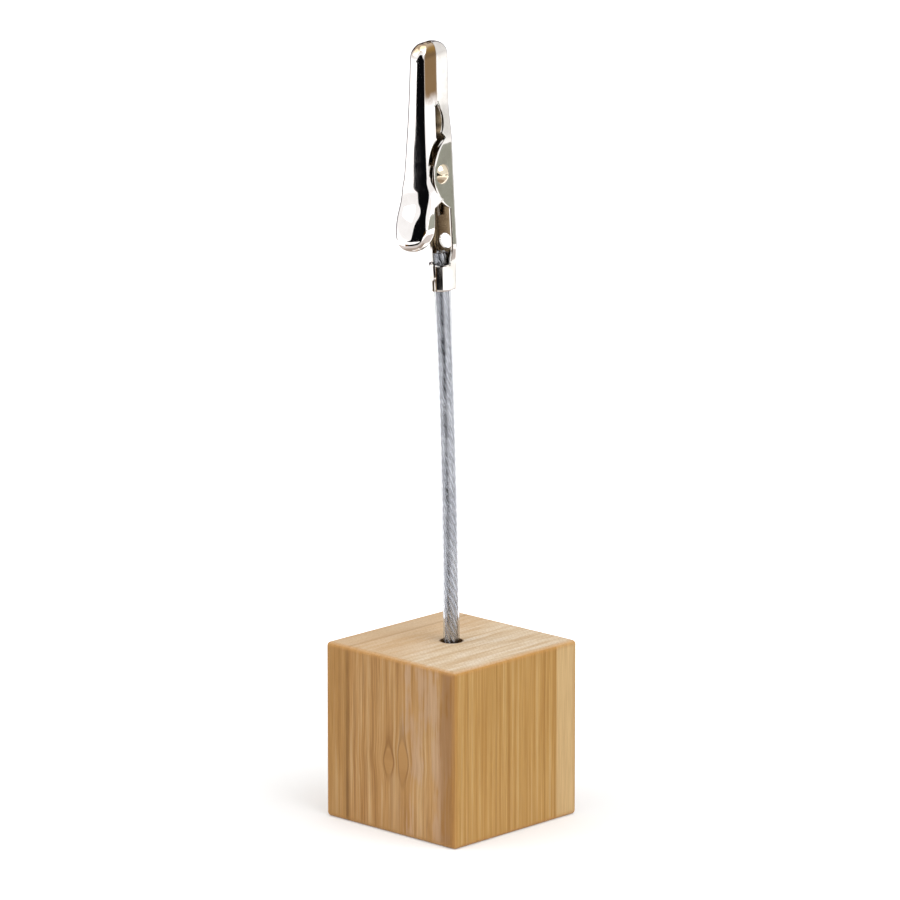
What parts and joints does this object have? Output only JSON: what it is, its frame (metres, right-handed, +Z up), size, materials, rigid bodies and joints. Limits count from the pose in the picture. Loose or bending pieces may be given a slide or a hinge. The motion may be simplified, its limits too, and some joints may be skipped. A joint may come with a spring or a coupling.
{
  "type": "memo clip holder",
  "caption": "Square bamboo block with an upright wire rope stem in a clear sleeve and a sprung crocodile clip on top that holds a note, label or photo.",
  "frame": {"origin": "centre of the block's square underside, on the surface that it stands on", "axes": "+Z up along the stem, +X and +Y square to the side faces of the block, -Y the side that the clip's lever and thumb pad face"},
  "size_m": [0.03, 0.03, 0.1337],
  "materials": {
    "bamboo": "clear satin, laminated strips",
    "adhesive": "cured clear resin",
    "clear_sleeve": "clear extruded",
    "steel_rope": "bright stranded wire",
    "nickel_plate": "bright nickel plate",
    "rivet_nickel": "bright nickel plate",
    "spring_wire": "drawn spring wire"
  },
  "bodies": {
    "holder": {"base_block": "bamboo", "stem_adhesive": "adhesive", "stem_sleeve": "clear_sleeve", "wire_rope": "steel_rope", "lower_jaw": "nickel_plate", "pivot_rivet": "rivet_nickel", "torsion_spring": "spring_wire"},
    "lever": {"lever_jaw": "nickel_plate"}
  },
  "joints": [
    {"name": "jaw_pivot", "type": "hinge", "parent": "holder", "child": "lever", "pos_m": [0.00053, -0.00548, 0.11158], "axis": [0.9954, 0.0958, 0], "range_deg": [0, 24], "stiffness_Nm_per_rad": 0.12, "springref_deg": -28.65, "deforming": ["torsion_spring"]}
  ]
}
